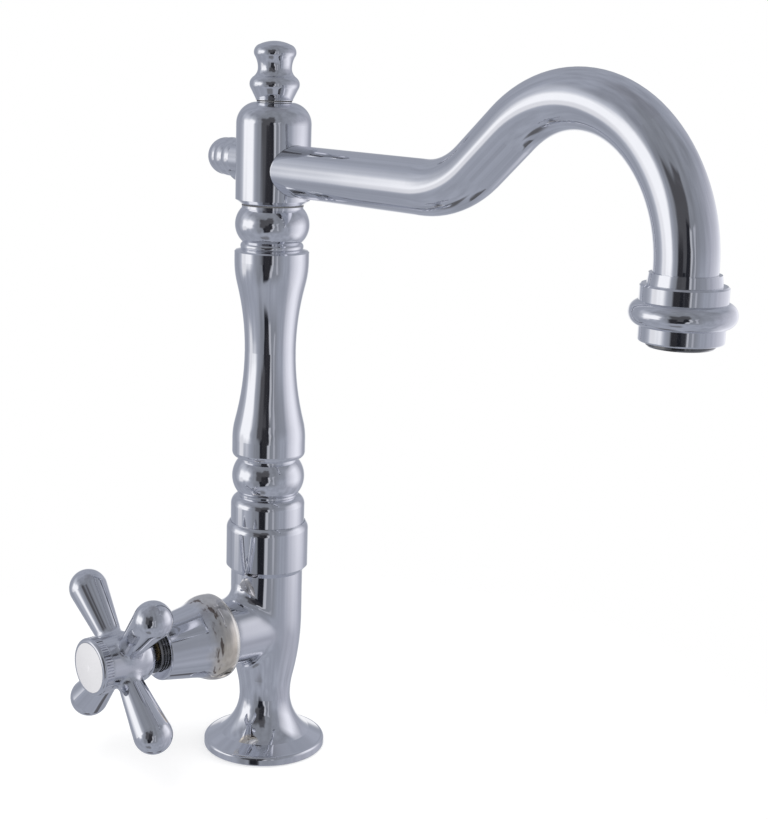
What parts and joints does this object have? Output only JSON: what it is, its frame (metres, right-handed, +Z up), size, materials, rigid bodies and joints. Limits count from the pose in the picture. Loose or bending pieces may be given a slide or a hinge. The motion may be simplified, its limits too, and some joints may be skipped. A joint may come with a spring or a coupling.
{
  "type": "pillar tap",
  "caption": "Chrome pillar tap with a turned baluster column, swan-neck swivel spout and a side cross handle with a porcelain index button.",
  "frame": {"origin": "centre of the flange's underside, at the mouth of the inlet thread, on the deck plane", "axes": "+Z up along the column; the spout points along -Y and the valve branch with its cross handle along -X"},
  "size_m": [0.1187, 0.278, 0.311],
  "materials": {
    "chrome": "polished chromium plate on brass",
    "brass": "machined brass",
    "steel": "stainless steel",
    "rubber": "black rubber",
    "washer": "dark nylon",
    "black_plastic": "black moulded plastic",
    "porcelain": "white glazed porcelain",
    "disc_ceramic": "ground alumina"
  },
  "bodies": {
    "base": {"valve_body": "chrome", "deck_gasket": "rubber", "union_collar": "chrome", "collar_grub_screw": "steel", "column": "chrome", "column_o_rings": "rubber", "swivel_post": "brass", "post_o_rings": "rubber", "head_washer": "washer", "finial_washer": "washer", "finial": "chrome", "cartridge_body": "brass", "seat_seal": "rubber", "fixed_disc": "disc_ceramic", "bonnet_shroud": "chrome", "gland_ring": "black_plastic"},
    "spout": {"swivel_head": "chrome", "back_knob": "chrome", "knob_washer": "washer", "spout_tube": "chrome", "outlet_ferrule": "chrome", "outlet_collar": "chrome", "aerator_insert": "black_plastic", "aerator_screen": "steel", "aerator_washer": "rubber"},
    "handle": {"spindle": "brass", "moving_disc": "disc_ceramic", "spindle_o_rings": "rubber", "spindle_circlip": "steel", "cross_handle": "chrome", "handle_screw": "steel", "index_bezel": "chrome", "index_button": "porcelain"}
  },
  "joints": [
    {"name": "spout_swivel", "type": "hinge", "parent": "base", "child": "spout", "pos_m": [0, 0, 0], "axis": [0, 0, 1], "continuous": true},
    {"name": "handle_turn", "type": "hinge", "parent": "base", "child": "handle", "pos_m": [0, 0, 0.0572], "axis": [-1, 0, 0], "range_deg": [0, 90]}
  ]
}
